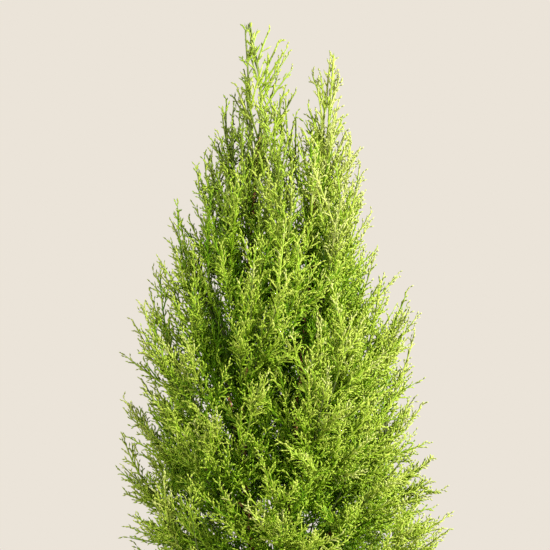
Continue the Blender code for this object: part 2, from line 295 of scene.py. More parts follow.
# Plumes on the inner part of the branches, which thin out to a share between two heights
THINNING_HEIGHTS = (0.45, 0.62)
THINNEST = 0.24
PLUME_STEPS = 4
PLUME_RANGE = (0.10, 0.52)
PLUME_SPACING = 0.0110
PLUME_LENGTH = 0.022
PLUME_SPREAD = math.radians(31)
PLUME_RADIUS = 0.00085
PLUME_SWELL = 1.25
PLUME_SHRINK = 0.6
PLUME_LENGTH_SPREAD = (0.75, 1.2)
LONGEST_PLUME = 0.5

# How plumes bend up and in, and the shares of their length that are tried until one fits
PLUME_RISE = 0.22
PLUME_CLOSING = 0.14
PLUME_SCATTER = 0.04
FIT_SHARES = (1.0, 0.84, 0.70, 0.56, 0.44)

# Plumes on the leaders themselves
LEADER_PLUME_RANGE = (0.12, 0.70)
LEADER_PLUME_SPACING = 0.0045
LEADER_PLUME_LENGTH = 0.040
LEADER_PLUME_SPREAD = math.radians(36)

# Branches and plumes taper from the first share of their radius to the second
AXIS_TAPER = (1.1, 0.7)

# Shoots on branches and plumes, spaced wider between two heights, and a little flattened in depth
SHOOT_SPACING = 0.0050
WIDER_HEIGHTS = (0.60, 0.70)
WIDEST = 1.7
FEWEST_SHOOTS = 3
SHOOT_FROM = 0.08
SHOOT_SPAN = 0.90
SHOOT_PLACE_SPREAD = (0.1, 0.9)
SHOOT_SPREAD = (math.radians(50), math.radians(28))
SHOOT_TURN_SPREAD = (0.8, 1.2)
SHOOT_ROLL = 0.40
PLUME_DEPTH = 0.85
FLAT_SCATTER = 0.02

# The shoots' length, and their share of it by their place along the branch or plume
SHOOT_LENGTH = 0.0138
SHOOT_SWELL = np.array(((0, 1.0), (0.25, 0.95), (0.55, 0.66), (1, 0.32)))
SHOOT_LENGTH_SPREAD = (0.65, 1.15)
LONGEST_SHOOT = 0.45
SHOOT_LEAN = 0.06
SHOOT_RISE = 0.03
SHOOT_RADIUS = 0.00094
SHOOT_TAPER = (0.75, 1.0)
SHOOT_WAIST = 0.66

# Buds on the shoots that lie further out than this share of the reach
BUD_OUTNESS = 0.40
BUD_SPACING = 0.0047
BUD_COUNTS = (1, 5)
BUD_FROM = 0.22
BUD_SPAN = 0.74
BUD_LENGTH = 0.0060
BUD_SWELL = 1.15
BUD_SHRINK = 0.4
BUD_SPREAD = math.radians(27)
BUD_RADIUS = 0.00088
BUD_WAIST = 0.55

# Between two heights all twigs grow stouter, up to a share
STOUTER_HEIGHTS = (0.56, 0.72)
STOUTEST = 1.15

# Tones, which choose a leaf's colour: about 1 on the crown's surface and 0 on its axis. Darker towards
# the axis is partly the leaves' own colour, lemon young growth outside and greener within, and partly
# painted shade of the crown's depth
# Painted light: leaves lighter higher up, where more light falls on the crown
HEIGHT_PAINTED_LIGHT = 0.28
MIDDLE_TONE_HEIGHT = 0.48
# Painted light: leaves lighter to the right, the side the key light falls on
RIGHT_PAINTED_LIGHT = 1.0

# To the left, out to a limit, leaves within this outness are darker and those beyond it lighter: painted
# shade inside and painted light on the surface of the crown's shaded left side
LEFT_PAINTED_LIGHT_AND_SHADE = 5.0
LEFT_LIMIT = -0.10
EVEN_OUTNESS = 0.82

# Between two heights the tone turns even, lighter to the right as painted light, and more varied
TOP_TONE_HEIGHTS = (0.52, 0.64)
TOP_TONE = 0.82
# Painted light: the top lighter still to the right
TOP_RIGHT_PAINTED_LIGHT = 4.3
TOP_VARIETY = 0.5

# How much tones vary, and the share of a shoot's tone that comes from its branch or plume
AXIS_CHANCE = 0.15
GREEN_CHANCE = 0.07
SHOOT_CHANCE = 0.18
AXIS_SHARE = 0.6

# How much lighter shoots are at the end of a branch or plume than at its start, and than its wood
END_LIGHTER = 0.22
SHOOT_LIGHTER = 0.32

# Leaf colours from the crown's surface inwards, the tone at which each begins, and its gloss. The lighter
# ones are partly the lemon young growth and partly painted light; deep and inner are partly the greener
# old leaves and partly painted shade
LEAF_COLOURS = (
    ("lemon", (0.350, 0.396, 0.104), 1.10, 0.28),
    ("lime", (0.320, 0.396, 0.050), 0.93, 0.28),
    ("fresh", (0.282, 0.380, 0.032), 0.76, 0.26),
    ("mid", (0.234, 0.352, 0.018), 0.59, 0.24),
    # deep and inner: partly the greener old leaves, partly painted shade deep in the crown
    ("deep", (0.160, 0.280, 0.006), 0.43, 0.20),
    ("inner", (0.084, 0.194, 0.002), -1.0, 0.16),
    # olive: painted shade for dark leaves near the left leader's top
    ("olive", (0.136, 0.190, 0.020), -9.0, 0.34),
)

# Leaves darker than this tone are olive near the top: none at the first height, all at the second. The
# olive is painted shade on the left leader's top
OLIVE_BELOW = 0.60
OLIVE_HEIGHTS = (0.54, 0.66)
OLIVE_TONE = -5.0

# The most triangles in one piece
PIECE_TRIANGLES = 185_000

# Camera, which looks level along +Y, and the width that it sees at the trunk
CAMERA_PLACE = (-0.005, -3.0, 0.508)
VIEW_WIDTH = 0.55

# Surroundings
AMBIENT = 0.40
AMBIENT_COLOUR = (1.0, 0.97, 0.92)
BACKDROP = (0.831, 0.775, 0.694)
FLOOR_COLOUR = (0.37, 0.347, 0.315)
FLOOR_RADIUS = 1.1
FLOOR_SIDES = 96

# Lights, which all look at the crown's middle: name, place, size, power and colour
CROWN_MIDDLE = (0, 0, 0.45)
LIGHTS = (
    ("key", (1.85, -1.85, 1.75), 0.15, 193, (1.0, 0.97, 0.90)),
    ("fill", (-1.6, -1.4, 1.0), 0.8, 42, (1.0, 0.98, 0.95)),
    ("side", (2.2, 0.4, 1.0), 0.9, 78, (1.0, 0.98, 0.92)),
)


def lerp(a, b, t):
    return a + (b - a) * t


def unit(v):
    return v / np.maximum(np.linalg.norm(v, axis=-1, keepdims=True), 1e-12)


def reach(height):
    """The crown's reach to the left and to the right at each height."""
    left = np.interp(height, CROWN_REACH[:, 0], CROWN_REACH[:, 1])
    right = np.interp(height, CROWN_REACH[:, 0], CROWN_REACH[:, 2])
    return left, right


def smooth_line(points, steps):
    """Points along a Catmull-Rom curve through the given ones."""
    knots = np.array(points)
    knots = np.vstack((2 * knots[0] - knots[1], knots, 2 * knots[-1] - knots[-2]))
    line = []
    for a, b, c, d in zip(knots, knots[1:], knots[2:], knots[3:]):
        for t in np.arange(steps) / steps:
            bend = (2 * a - 5 * b + 4 * c - d) * t**2 + (3 * b - a - 3 * c + d) * t**3
            line.append(0.5 * (2 * b + (c - a) * t + bend))
    return np.array([*line, knots[-2]])


LEADERS = {side: smooth_line(LEADER_LINES[side], LEADER_STEPS) for side in SIDES}


def leader_at(side, height):
    """The leader's centre at each height or, below the fork, the trunk's."""
    line = np.vstack(((0, 0, 0), FORK_CENTRE, LEADERS[side][1:]))
    across = np.interp(height, line[:, 2], line[:, 0])
    deep = np.interp(height, line[:, 2], line[:, 1])
    return np.stack((across, deep, np.asarray(height, float)), axis=-1)


def border_between(height):
    """Where across one leader's crown ends and the other's begins."""
    left, right = (leader_at(side, height)[..., 0] for side in SIDES)
    return lerp(left, right, NOTCH_WIDTHS["left"] / sum(NOTCH_WIDTHS.values()))


def sweep(height):
    """The angle above level at which the bough whose tip is at this height rises."""
    return np.clip(LEVEL_SWEEP + (height - LEVEL_HEIGHT) * SWEEP_RISE, *SWEEP_LIMITS)


def bough_line(side, tip):
    """Points from the centre of a leader, or of the trunk, to a tip, turning up on the way."""
    base = tip[2]
    for _ in range(SWEEP_ROUNDS):
        run = np.linalg.norm((tip - leader_at(side, base))[:2])
        base = max(LOWEST_BOUGH, tip[2] - run * math.tan(sweep(tip[2])))
    foot = leader_at(side, base)
    t = np.linspace(0, 1, LINE_STEPS + 1)
    line = lerp(foot, tip, t[:, None])
    line[:, 2] = lerp(foot[2], tip[2], (1 - UPTURN) * t + UPTURN * t**2)
    return line


def spiral_heights(count, low, high, steps=200):
    """Heights that share out the crown's side evenly between two heights."""
    middles = lerp(low, high, (np.arange(steps) + 0.5) / steps)
    areas = np.cumsum(sum(reach(middles)))
    wanted = areas[-1] * (np.arange(count) + 0.5) / count
    return middles[np.searchsorted(areas, wanted)]


def mass_lines():
    """(name, line) for each mass of foliage, from its limb's centre to its tip."""
    lines = []
    for k, height in enumerate(spiral_heights(LOWER_MASSES, LOWEST_TIP, SHOULDER)):
        azimuth = SPIRAL_START + k * GOLDEN_ANGLE
        left, right = reach(height)
        side = "right" if math.cos(azimuth) > 0 else "left"
        across = right if side == "right" else left
        deep = DEPTH_SHARE * (left + right) / 2
        tip = np.array((across * math.cos(azimuth), deep * math.sin(azimuth), height))
        lines.append((f"{k + 1:02d}", bough_line(side, tip)))
    for side in SIDES:
        for k, height in enumerate(UPPER_TIPS[side]):
            azimuth = UPPER_START[side] + k * GOLDEN_ANGLE
            centre = leader_at(side, height)
            radius = reach(height)[SIDES.index(side)] - abs(centre[0])
            tip = centre + radius * np.array((math.cos(azimuth), math.sin(azimuth), 0))
            lines.append((f"{side}_{k + 1}", bough_line(side, tip)))
        for k, height in enumerate(INNER_TIPS[side]):
            towards = 1 if side == "left" else -1
            turn = INNER_TURN * towards * (-1) ** k
            across = np.array((towards * math.cos(turn), math.sin(turn), 0))
            tip = leader_at(side, height) + INNER_REACH * across
            lines.append((f"inner_{side}_{k + 1}", bough_line(side, tip)))
        lines.append((f"{side}_top", stretch(LEADERS[side][-LEADER_STEPS - 1:], 0, 1, LINE_STEPS)))
    return lines


def length_of(line):
    """The length along a line of points."""
    return np.linalg.norm(np.diff(line, axis=0), axis=1).sum()


def stretch(line, start, end, steps):
    """Evenly spaced points along a line between two shares of its length."""
    marks = np.concatenate(([0], np.cumsum(np.linalg.norm(np.diff(line, axis=0), axis=1))))
    at = np.linspace(start, end, steps + 1) * marks[-1]
    return np.stack([np.interp(at, marks, line[:, i]) for i in range(3)], axis=1)


def frames_along(line):
    """(along, across, upward) at each point of a line, turned as little as possible."""
    along = unit(np.gradient(line, axis=0))
    across = unit(np.cross(along[0], UP if abs(along[0][2]) < NEARLY_UPRIGHT else (0.0, 1.0, 0.0)))
    frames = []
    for direction in along:
        across = unit(across - across.dot(direction) * direction)
        frames.append((direction, across, np.cross(direction, across)))
    return frames


def outness(points):
    """How far out in the crown each point is: 0 on its axis, 1 at its reach."""
    left, right = reach(points[:, 2])
    across = np.where(points[:, 0] > 0, right, left)
    deep = DEPTH_SHARE * (left + right) / 2
    whole = np.hypot(points[:, 0] / across, points[:, 1] / deep)
    parted = []
    for side, own, outward in zip(SIDES, (left, right), (-1, 1)):
        centre = leader_at(side, points[:, 2])
        offset = points - centre
        outer = np.maximum(own - abs(centre[:, 0]), STRAY)
        radius = np.where(offset[:, 0] * outward > 0, outer, NOTCH_WIDTHS[side])
        parted.append(np.linalg.norm(offset, axis=1) / radius)
    return np.where(points[:, 2] < NOTCH_HEIGHT, whole, np.minimum(*parted))


def in_crown(points):
    """Whether each point lies in the crown, or strays from it by very little."""
    size = np.maximum(sum(reach(points[:, 2])) / 2, STRAY)
    inside = outness(points) < 1 + STRAY / size
    return inside & (points[:, 2] > LOWEST_LEAF) & (points[:, 2] < TOP + STRAY / 2)


class Spots:
    """Points in space that can be asked how near they are."""

    def __init__(self, points):
        self.tree = KDTree(len(points))
        for i, point in enumerate(points):
            self.tree.insert(point, i)
        self.tree.balance()

    def distances(self, points):
        """How far each point is from the nearest of these."""
        return np.array([self.tree.find(point)[2] for point in points.reshape(-1, 3)])


LINES = mass_lines()
HAS_BOUGH = {name: length_of(line) > SHORTEST_WITH_BOUGH for name, line in LINES}
LIMB_SPOTS = Spots(np.concatenate(
    [stretch(LEADERS[side], 0, GREEN_SHARE, LEADER_SPOTS) for side in SIDES]
    + [stretch(line, 0, BOUGH_SHARE, BOUGH_SPOTS) for name, line in LINES if HAS_BOUGH[name]]
))


def square_to(along, rng):
    """Unit vectors square to the given ones, turned at random."""
    loose = rng.normal(size=along.shape)
    return unit(loose - (loose * along).sum(axis=-1, keepdims=True) * along)


def allowed(lines):
    """Whether each line stays in the crown and, past its first stretch, touches no limb."""
    checked = lines[:, 2:].reshape(-1, 3)
    good = in_crown(checked) & (LIMB_SPOTS.distances(checked) > LIMB_ROOM)
    return good.reshape(len(lines), -1).all(axis=1)


def fitting(origins, along, lengths, bends):
    """The longest allowed lines from these origins, which lean over by their bends."""
    t = np.linspace(0, 1, PLUME_STEPS + 1)[None, :, None]
    lines = np.zeros((len(origins), PLUME_STEPS + 1, 3))
    found = np.zeros(len(origins), bool)
    for share in FIT_SHARES:
        size = lengths[:, None, None] * share
        tried = origins[:, None] + size * (along[:, None] * t + bends[:, None] * t**2)
        good = allowed(tried) & ~found
        lines[good] = tried[good]
        found |= good
    return lines[found]


def tips_in(count, lowest, top_counts, depths, start):
    """Tips up a golden spiral, at depths between two shares of the crown's reach.

    The start turns the spiral and shifts the depths. Each leader's top has tips of its own.
    """
    def depth(k):
        return lerp(*depths, ((k * DEPTH_TURN + start) % 1) ** CROWDING)

    k = np.arange(count)
    height = spiral_heights(count, lowest, NOTCH_HEIGHT, steps=20 * count)
    azimuth = start + k * GOLDEN_ANGLE
    left, right = reach(height)
    across = np.where(np.cos(azimuth) > 0, right, left) * np.cos(azimuth)
    deep = DEPTH_SHARE * (left + right) / 2 * np.sin(azimuth)
    tips = [np.stack((across * depth(k), deep * depth(k), height), axis=1)]
    for i, side in enumerate(SIDES):
        outward = 2 * i - 1
        k = np.arange(top_counts[side])
        rise = np.linspace(0, 1, len(k)) ** TOP_CROWDING
        height = lerp(NOTCH_HEIGHT, LEADER_LINES[side][-1][2], rise)
        centre = leader_at(side, height)
        azimuth = UPPER_START[side] + k * GOLDEN_ANGLE
        outer = np.maximum(reach(height)[i] - abs(centre[:, 0]), STRAY)
        radius = depth(k) * np.where(np.cos(azimuth) * outward > 0, outer, NOTCH_WIDTHS[side])
        centre[:, 0] += radius * np.cos(azimuth)
        centre[:, 1] += radius * np.sin(azimuth)
        tips.append(centre)
    return np.concatenate(tips)


def in_hollow(tips):
    """Whether each tip lies in a hollow at the crown's left or right edge."""
    inside = np.zeros(len(tips), bool)
    for low, high, across in HOLLOWS:
        past = tips[:, 0] * np.sign(across) > abs(across)
        inside |= past & (tips[:, 2] > low) & (tips[:, 2] < high)
    return inside


def feet_along(lines):
    """(points, directions) along lines where something may spring."""
    points, directions = [], []
    for line in lines:
        steps = max(int(length_of(line) / FOOT_SPACING), 2)
        part = stretch(line, *FOOT_RANGE, steps)
        points.append(part)
        directions.append(unit(np.gradient(part, axis=0)))
    return np.concatenate(points), np.concatenate(directions)


def lines_to(tips, stems, rise, length, steps, rng):
    """A line to each tip, from the place on a stem that suits its rise and length best."""
    places, directions = feet_along(stems)
    rise = rise + rng.normal(0, RISE_SCATTER, len(tips))
    wanted = length * rng.uniform(*LENGTH_SPREAD, len(tips))
    chosen = []
    for tip, tip_rise, tip_length in zip(tips, rise, wanted):
        way = tip - places
        size = np.linalg.norm(way, axis=1)
        actual = np.arcsin(np.clip(way[:, 2] / np.maximum(size, 1e-6), -1, 1))
        turn = np.arccos(np.clip((unit(way) * directions).sum(axis=1), -1, 1))
        cost = ((actual - tip_rise) / RISE_LEEWAY) ** 2 + ((size / tip_length - 1) / LENGTH_LEEWAY) ** 2
        cost += (turn / TURN_LEEWAY) ** 2 + TOO_SHORT_COST * (size < SHORTEST_BRANCH)
        if tip[2] > PARTED_HEIGHT:
            border = border_between(tip[2])
            cost += CROSSING_COST * ((places[:, 0] - border) * (tip[0] - border) < 0)
        chosen.append(cost.argsort()[:FEET_APART * FEET_TRIED:FEET_APART])
    loose = rng.normal(0, LEAD_SCATTER, tips.shape)
    t = np.linspace(0, 1, steps + 1)[None, :, None]
    lines = np.zeros((len(tips), steps + 1, 3))
    found = np.zeros(len(tips), bool)
    for feet_now in np.array(chosen).T:
        feet, along = places[feet_now], directions[feet_now]
        way = tips - feet
        size = np.linalg.norm(way, axis=1, keepdims=True)
        lead = unit(unit(way) + LEAD_ALONG * along - SAG * UP + loose)
        bend = feet + LEAD_LENGTH * size * lead
        tried = (1 - t) ** 2 * feet[:, None] + 2 * t * (1 - t) * bend[:, None] + t**2 * tips[:, None]
        good = allowed(tried) & (size[:, 0] > SHORTEST_BRANCH) & ~found
        lines[good] = tried[good]
        found |= good
    return lines[found]


def ends_of(lines):
    """The last stretch of each stem, which bears plumes and shoots like a branch."""
    shares = [min(LONGEST_END, END_LENGTH / length_of(line)) for line in lines]
    return np.array([stretch(line, 1 - share, 1, CURVE_STEPS) for line, share in zip(lines, shares)])


def grow_side_stems(rng):
    """Side stems between the masses' own."""
    tips = tips_in(SIDE_STEMS, LOWEST_TIP, TOP_STEMS, SIDE_STEM_DEPTHS, SIDE_STEM_START)
    rise = np.minimum(sweep(tips[:, 2]) + SIDE_STEM_STEEPER, STEEPEST)
    feet = [line for _, line in LINES] + list(LEADERS.values())
    return lines_to(tips, feet, rise, SIDE_STEM_LENGTH, SIDE_STEM_STEPS, rng)


def grow_branches(side_stems, rng):
    """Branches on all stems: the stems' ends, the many in the crown and the lone ones."""
    stems = [line for _, line in LINES] + list(side_stems)
    feet = stems + list(LEADERS.values())
    tips = tips_in(BRANCHES, LOWEST_BRANCH_TIP, TOP_BRANCHES, BRANCH_DEPTHS, BRANCH_START)
    share = np.where(tips[:, 0] < OPEN_SIDE, np.interp(tips[:, 2], *OPEN_SHARES.T), 1)
    tips = tips[(rng.random(len(tips)) < share) & ~in_hollow(tips)]
    lone = np.array([(across, rng.normal(0, LONE_SCATTER), up) for across, up in LONE_TIPS])
    others = tips_in(OTHER_LONE_TIPS, LOWEST_TIP, NO_TOPS, LONE_DEPTHS, LONE_START)
    lone = np.concatenate((lone, others[~in_hollow(others)]))
    grown = [ends_of(stems)]
    for some, longer in ((tips, 1.0), (lone, LONE_LONGER)):
        rise = np.interp(some[:, 2], BRANCH_HABIT[:, 0], BRANCH_HABIT[:, 1])
        rightness = np.clip(some[:, 0] / reach(some[:, 2])[1], 0, 1)
        rise = np.radians(rise - FLATTER_TO_THE_RIGHT * rightness)
        length = longer * np.interp(some[:, 2], BRANCH_HABIT[:, 0], BRANCH_HABIT[:, 2])
        grown.append(lines_to(some, feet, rise, length, CURVE_STEPS, rng))
    return np.concatenate(grown)


def turned_plumes(feet, along, across, order, spread, size, rng):
    """Plumes at these feet, turned off the way along by a spread and by turns round it."""
    azimuth = order * GOLDEN_ANGLE
    outward = np.cos(azimuth)[:, None] * across + np.sin(azimuth)[:, None] * np.cross(along, across)
    turned = math.cos(spread) * along + math.sin(spread) * outward
    loose = rng.normal(0, PLUME_SCATTER, (len(feet), 3))
    return fitting(feet, turned, size, PLUME_RISE * UP - PLUME_CLOSING * outward + loose)


def plumes_on(branches, rng):
    """Plumes on the inner part of each branch, by turns round it."""
    lengths = np.linalg.norm(branches[:, -1] - branches[:, 0], axis=1)
    thinning = np.interp(branches[:, -1, 2], THINNING_HEIGHTS, (1, THINNEST))
    start, end = PLUME_RANGE
    counts = np.round(thinning * lengths * (end - start) / PLUME_SPACING).astype(int)
    which, order = numbered(counts)
    count = len(which)
    t = lerp(start, end, (order + rng.uniform(*PLACE_SPREAD, count)) / counts[which])
    feet, along = places_on(branches, which, t)
    across = sideways(along, which, rng)
    size = PLUME_LENGTH * (PLUME_SWELL - PLUME_SHRINK * t) * rng.uniform(*PLUME_LENGTH_SPREAD, count)
    size = np.minimum(size, LONGEST_PLUME * lengths[which])
    return turned_plumes(feet, along, across, order, PLUME_SPREAD, size, rng)


def plumes_on_leaders(rng):
    """Plumes that spring from the leaders, by turns round them."""
    grown = []
    for side in SIDES:
        low, high = LEADER_PLUME_RANGE
        steps = int(length_of(LEADERS[side]) * (high - low) / LEADER_PLUME_SPACING)
        feet = stretch(LEADERS[side], low, high, steps)
        along = unit(np.gradient(feet, axis=0))
        across = unit(np.cross(along, (0.0, 1.0, 0.0)))
        order = np.arange(len(feet))
        size = LEADER_PLUME_LENGTH * rng.uniform(*LENGTH_SPREAD, len(feet))
        grown.append(turned_plumes(feet, along, across, order, LEADER_PLUME_SPREAD, size, rng))
    return np.concatenate(grown)


def numbered(counts):
    """For each thing on each parent, the parent's number and the thing's own number on it."""
    which = np.repeat(np.arange(len(counts)), counts)
    return which, np.arange(len(which)) - np.repeat(np.cumsum(counts) - counts, counts)


def sideways(along, which, rng):
    """Unit vectors square to the given ones, the same way round for all with one parent."""
    _, first, parent = np.unique(which, return_index=True, return_inverse=True)
    across = square_to(along[first], rng)[parent]
    return unit(across - (across * along).sum(axis=1, keepdims=True) * along)


def places_on(lines, which, t):
    """Points and directions at shares t along the chosen lines."""
    steps = lines.shape[1] - 1
    at = np.minimum((t * steps).astype(int), steps - 1)
    a, b = lines[which, at], lines[which, at + 1]
    return lerp(a, b, (t * steps - at)[:, None]), unit(b - a)


def shoots_on(axes, rng):
    """(lines, radii, axis, share along it) of the shoots on branches or plumes, their axes."""
    lengths = np.linalg.norm(axes[:, -1] - axes[:, 0], axis=1)
    spacing = SHOOT_SPACING * np.interp(axes[:, -1, 2], WIDER_HEIGHTS, (1, WIDEST))
    counts = np.maximum(np.round(lengths / spacing).astype(int), FEWEST_SHOOTS)
    which, order = numbered(counts)
    place = order + rng.uniform(*SHOOT_PLACE_SPREAD, len(which))
    t = SHOOT_FROM + SHOOT_SPAN * place / counts[which]
    feet, along = places_on(axes, which, t)
    flat = unit(np.cross(along, feet * LEVEL_PART) + FLAT_SCATTER * square_to(along, rng))
    upward = np.cross(along, flat)
    roll = order * GOLDEN_ANGLE + rng.normal(0, SHOOT_ROLL, len(which))
    outward = np.cos(roll)[:, None] * flat + PLUME_DEPTH * np.sin(roll)[:, None] * upward
    angle = lerp(*SHOOT_SPREAD, t) * rng.uniform(*SHOOT_TURN_SPREAD, len(which))
    turned = unit(np.cos(angle)[:, None] * along + np.sin(angle)[:, None] * outward)
    size = SHOOT_LENGTH * np.interp(t, *SHOOT_SWELL.T) * rng.uniform(*SHOOT_LENGTH_SPREAD, len(which))
    size = np.minimum(size, LONGEST_SHOOT * lengths[which])
    steps = np.array((0, SHOOT_WAIST, 1.0))[None, :, None]
    lean = SHOOT_LEAN * along + SHOOT_RISE * UP
    lines = feet[:, None] + size[:, None, None] * (turned[:, None] * steps + lean[:, None] * steps**2)
    kept = in_crown(lines[:, -1]) & (LIMB_SPOTS.distances(lines[:, -1]) > LIMB_ROOM)
    radii = SHOOT_RADIUS * np.outer(rng.uniform(*THICKNESS_SPREAD, kept.sum()), SHOOT_TAPER)
    return lines[kept], radii, which[kept], t[kept]


def buds_on(shoots, rng):
    """(lines, radii, shoot) of the buds on all shoots."""
    lengths = np.linalg.norm(shoots[:, -1] - shoots[:, 0], axis=1)
    counts = np.clip(np.round(lengths / BUD_SPACING).astype(int), *BUD_COUNTS)
    which, order = numbered(counts)
    t = BUD_FROM + BUD_SPAN * (order + rng.uniform(*PLACE_SPREAD, len(which))) / counts[which]
    feet, along = places_on(shoots, which, t)
    outward = np.where(order % 2, 1, -1)[:, None] * sideways(along, which, rng)
    turned = math.cos(BUD_SPREAD) * along + math.sin(BUD_SPREAD) * outward
    size = BUD_LENGTH * (BUD_SWELL - BUD_SHRINK * t) * rng.uniform(*LENGTH_SPREAD, len(which))
    steps = np.array((0, BUD_WAIST, 1.0))[None, :, None]
    lines = feet[:, None] + size[:, None, None] * turned[:, None] * steps
    radii = BUD_RADIUS * rng.uniform(*THICKNESS_SPREAD, (len(which), 1))
    return lines, radii, which


def spikes(lines, radii, rng, sides=3):
    """(vertices, faces of one) of tapering twigs that end in a point.

    Each has a ring of corners at the points before its last one, as many as it has radii. With one
    point more than that, its foot is a point too.
    """
    count, rings = radii.shape
    along = unit(lines[:, -1] - lines[:, 0])
    across = square_to(along, rng)
    upward = np.cross(along, across)
    angles = 2 * math.pi / sides * np.arange(sides)
    circle = np.cos(angles)[:, None] * across[:, None] + np.sin(angles)[:, None] * upward[:, None]
    around = lines[:, -rings - 1:-1, None] + radii[:, :, None, None] * circle[:, None]
    parts = [around.reshape(count, sides * rings, 3), lines[:, -1:]]
    pointed = lines.shape[1] > rings + 1
    if pointed:
        parts.append(lines[:, :1])
    tip, foot = sides * rings, sides * rings + 1
    faces = []
    for k in range(sides):
        n = (k + 1) % sides
        for a, b in ((sides * ring + k, sides * ring + n) for ring in range(rings - 1)):
            faces += [(a, b, b + sides), (a, b + sides, a + sides)]
        last = sides * (rings - 1)
        faces.append((last + k, last + n, tip))
        if pointed:
            faces.append((n, k, foot))
    return np.concatenate(parts, axis=1), np.array(faces)


def piece(name, vertices, triangles, finish):
    """A mesh object from arrays, riding on the plant."""
    mesh = bpy.data.meshes.new(name)
    mesh.vertices.add(len(vertices))
    mesh.vertices.foreach_set("co", vertices.astype(np.float32).ravel())
    mesh.loops.add(3 * len(triangles))
    mesh.loops.foreach_set("vertex_index", triangles.astype(np.int32).ravel())
    mesh.polygons.add(len(triangles))
    mesh.polygons.foreach_set("loop_start", np.arange(0, 3 * len(triangles), 3, dtype=np.int32))
    mesh.update(calc_edges=True)
    mesh.shade_smooth()
    mesh.materials.append(finish)
    made = bpy.data.objects.new(name, mesh)
    bpy.context.scene.collection.objects.link(made)
    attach(made, "root")
    return made


def merged(shapes):
    """One (vertices, triangles) from several."""
    sizes = np.cumsum([0] + [len(vertices) for vertices, _ in shapes])
    vertices = np.concatenate([vertices for vertices, _ in shapes])
    triangles = np.concatenate([faces + size for (_, faces), size in zip(shapes, sizes)])
    return vertices, triangles


def expanded(vertices, faces):
    """(vertices, triangles) of many copies of one layout of faces."""
    count, size = vertices.shape[:2]
    triangles = faces[None] + size * np.arange(count)[:, None, None]
    return vertices.reshape(-1, 3), triangles.reshape(-1, 3)


def ridges(angles, distance, waves):
    """The bark's relief round a ring, from -1 in a furrow to 0 on a ridge."""
    height = np.zeros(len(angles))
    for around, along, phase, size in waves:
        height += size * np.cos(around * angles + along * distance + phase)
    return -np.exp(-(height / FURROW_WIDTH) ** 2)


def bark_waves(rng):
    """Waves whose sum wanders along a limb and crosses zero in long furrows."""
    around = rng.integers(*RIDGES_AROUND, RIDGE_WAVES)
    along = rng.uniform(-RIDGES_ALONG, RIDGES_ALONG, RIDGE_WAVES)
    phases = rng.uniform(0, 2 * math.pi, RIDGE_WAVES)
    sizes = rng.uniform(*RIDGE_SIZES, RIDGE_WAVES)
    return list(zip(around, along, phases, sizes))


def limb(line, radii, sides, seed):
    """(vertices, triangles) of a closed limb with bark relief, from one radius to the other."""
    steps = max(int(length_of(line) / RING_SPACING), LINE_STEPS)
    line = stretch(line, 0, 1, steps)
    waves = bark_waves(np.random.default_rng((SEED, seed)))
    angles = 2 * math.pi * np.arange(sides) / sides
    rings = []
    for i, (_, across, upward) in enumerate(frames_along(line)):
        radius = lerp(*radii, i / steps)
        radius = radius * (1 + FURROW_SHARE * ridges(angles, i * RING_SPACING, waves))
        rings.append(line[i] + radius[:, None] * (
            np.cos(angles)[:, None] * across + np.sin(angles)[:, None] * upward))
    return tube(np.array(rings), line)


def tube(rings, line):
    """(vertices, triangles) of a tube over rings of points, closed by a fan at either end."""
    count, sides = rings.shape[:2]
    k = np.arange(sides)
    n = (k + 1) % sides
    start = sides * np.arange(count - 1)[:, None]
    a, b = start + k, start + n
    walls = np.concatenate((
        np.stack((a, b, b + sides), axis=-1).reshape(-1, 3),
        np.stack((a, b + sides, a + sides), axis=-1).reshape(-1, 3),
    ))
    foot, head = count * sides, count * sides + 1
    last = (count - 1) * sides
    fans = np.concatenate((
        np.stack((np.full(sides, foot), n, k), axis=-1),
        np.stack((last + k, last + n, np.full(sides, head)), axis=-1),
    ))
    vertices = np.concatenate((rings.reshape(-1, 3), line[:1], line[-1:]))
    return vertices, np.concatenate((walls, fans))


def trunk():
    """The trunk, flared at its foot, cut flat at the ground and widened for the fork on top."""
    steps = int(FORK_HEIGHT / RING_SPACING)
    waves = bark_waves(np.random.default_rng((SEED, TRUNK_SEED)))
    angles = 2 * math.pi * np.arange(TRUNK_SIDES) / TRUNK_SIDES
    rings, line = [], []
    for rise in np.linspace(0, 1, steps + 1):
        height = rise * FORK_HEIGHT
        flare = math.exp(-height / FLARE_HEIGHT)
        rib = 1 + RIB_DEPTH * flare * np.cos(ROOT_RIBS * angles)
        radius = (TRUNK_RADIUS + FLARE * flare) * rib
        radius *= 1 + FURROW_SHARE * ridges(angles, height, waves)
        centre = np.array((FORK_CENTRE[0] * rise, FORK_CENTRE[1] * rise, height))
        widen = lerp(1, FORK_SPREAD, rise**3)
        ring = np.stack((radius * widen * np.cos(angles), radius * np.sin(angles), 0 * angles), axis=1)
        rings.append(centre + ring)
        line.append(centre)
    return tube(np.array(rings), np.array(line))


def nodes_of(finish):
    """A material's nodes, its links and its shader."""
    tree = finish.node_tree
    return tree.nodes, tree.links, tree.nodes["Principled BSDF"]


def grain(finish, scale, stretch_z, detail):
    """Noise in the object's own space, drawn out along the height where stretch_z is under 1."""
    nodes, links, _ = nodes_of(finish)
    place = nodes.new("ShaderNodeTexCoord")
    mapping = nodes.new("ShaderNodeMapping")
    mapping.inputs["Scale"].default_value = (1, 1, stretch_z)
    noise = nodes.new("ShaderNodeTexNoise")
    noise.inputs["Scale"].default_value = scale
    noise.inputs["Detail"].default_value = detail
    links.new(place.outputs["Object"], mapping.inputs["Vector"])
    links.new(mapping.outputs["Vector"], noise.inputs["Vector"])
    return noise.outputs["Fac"]


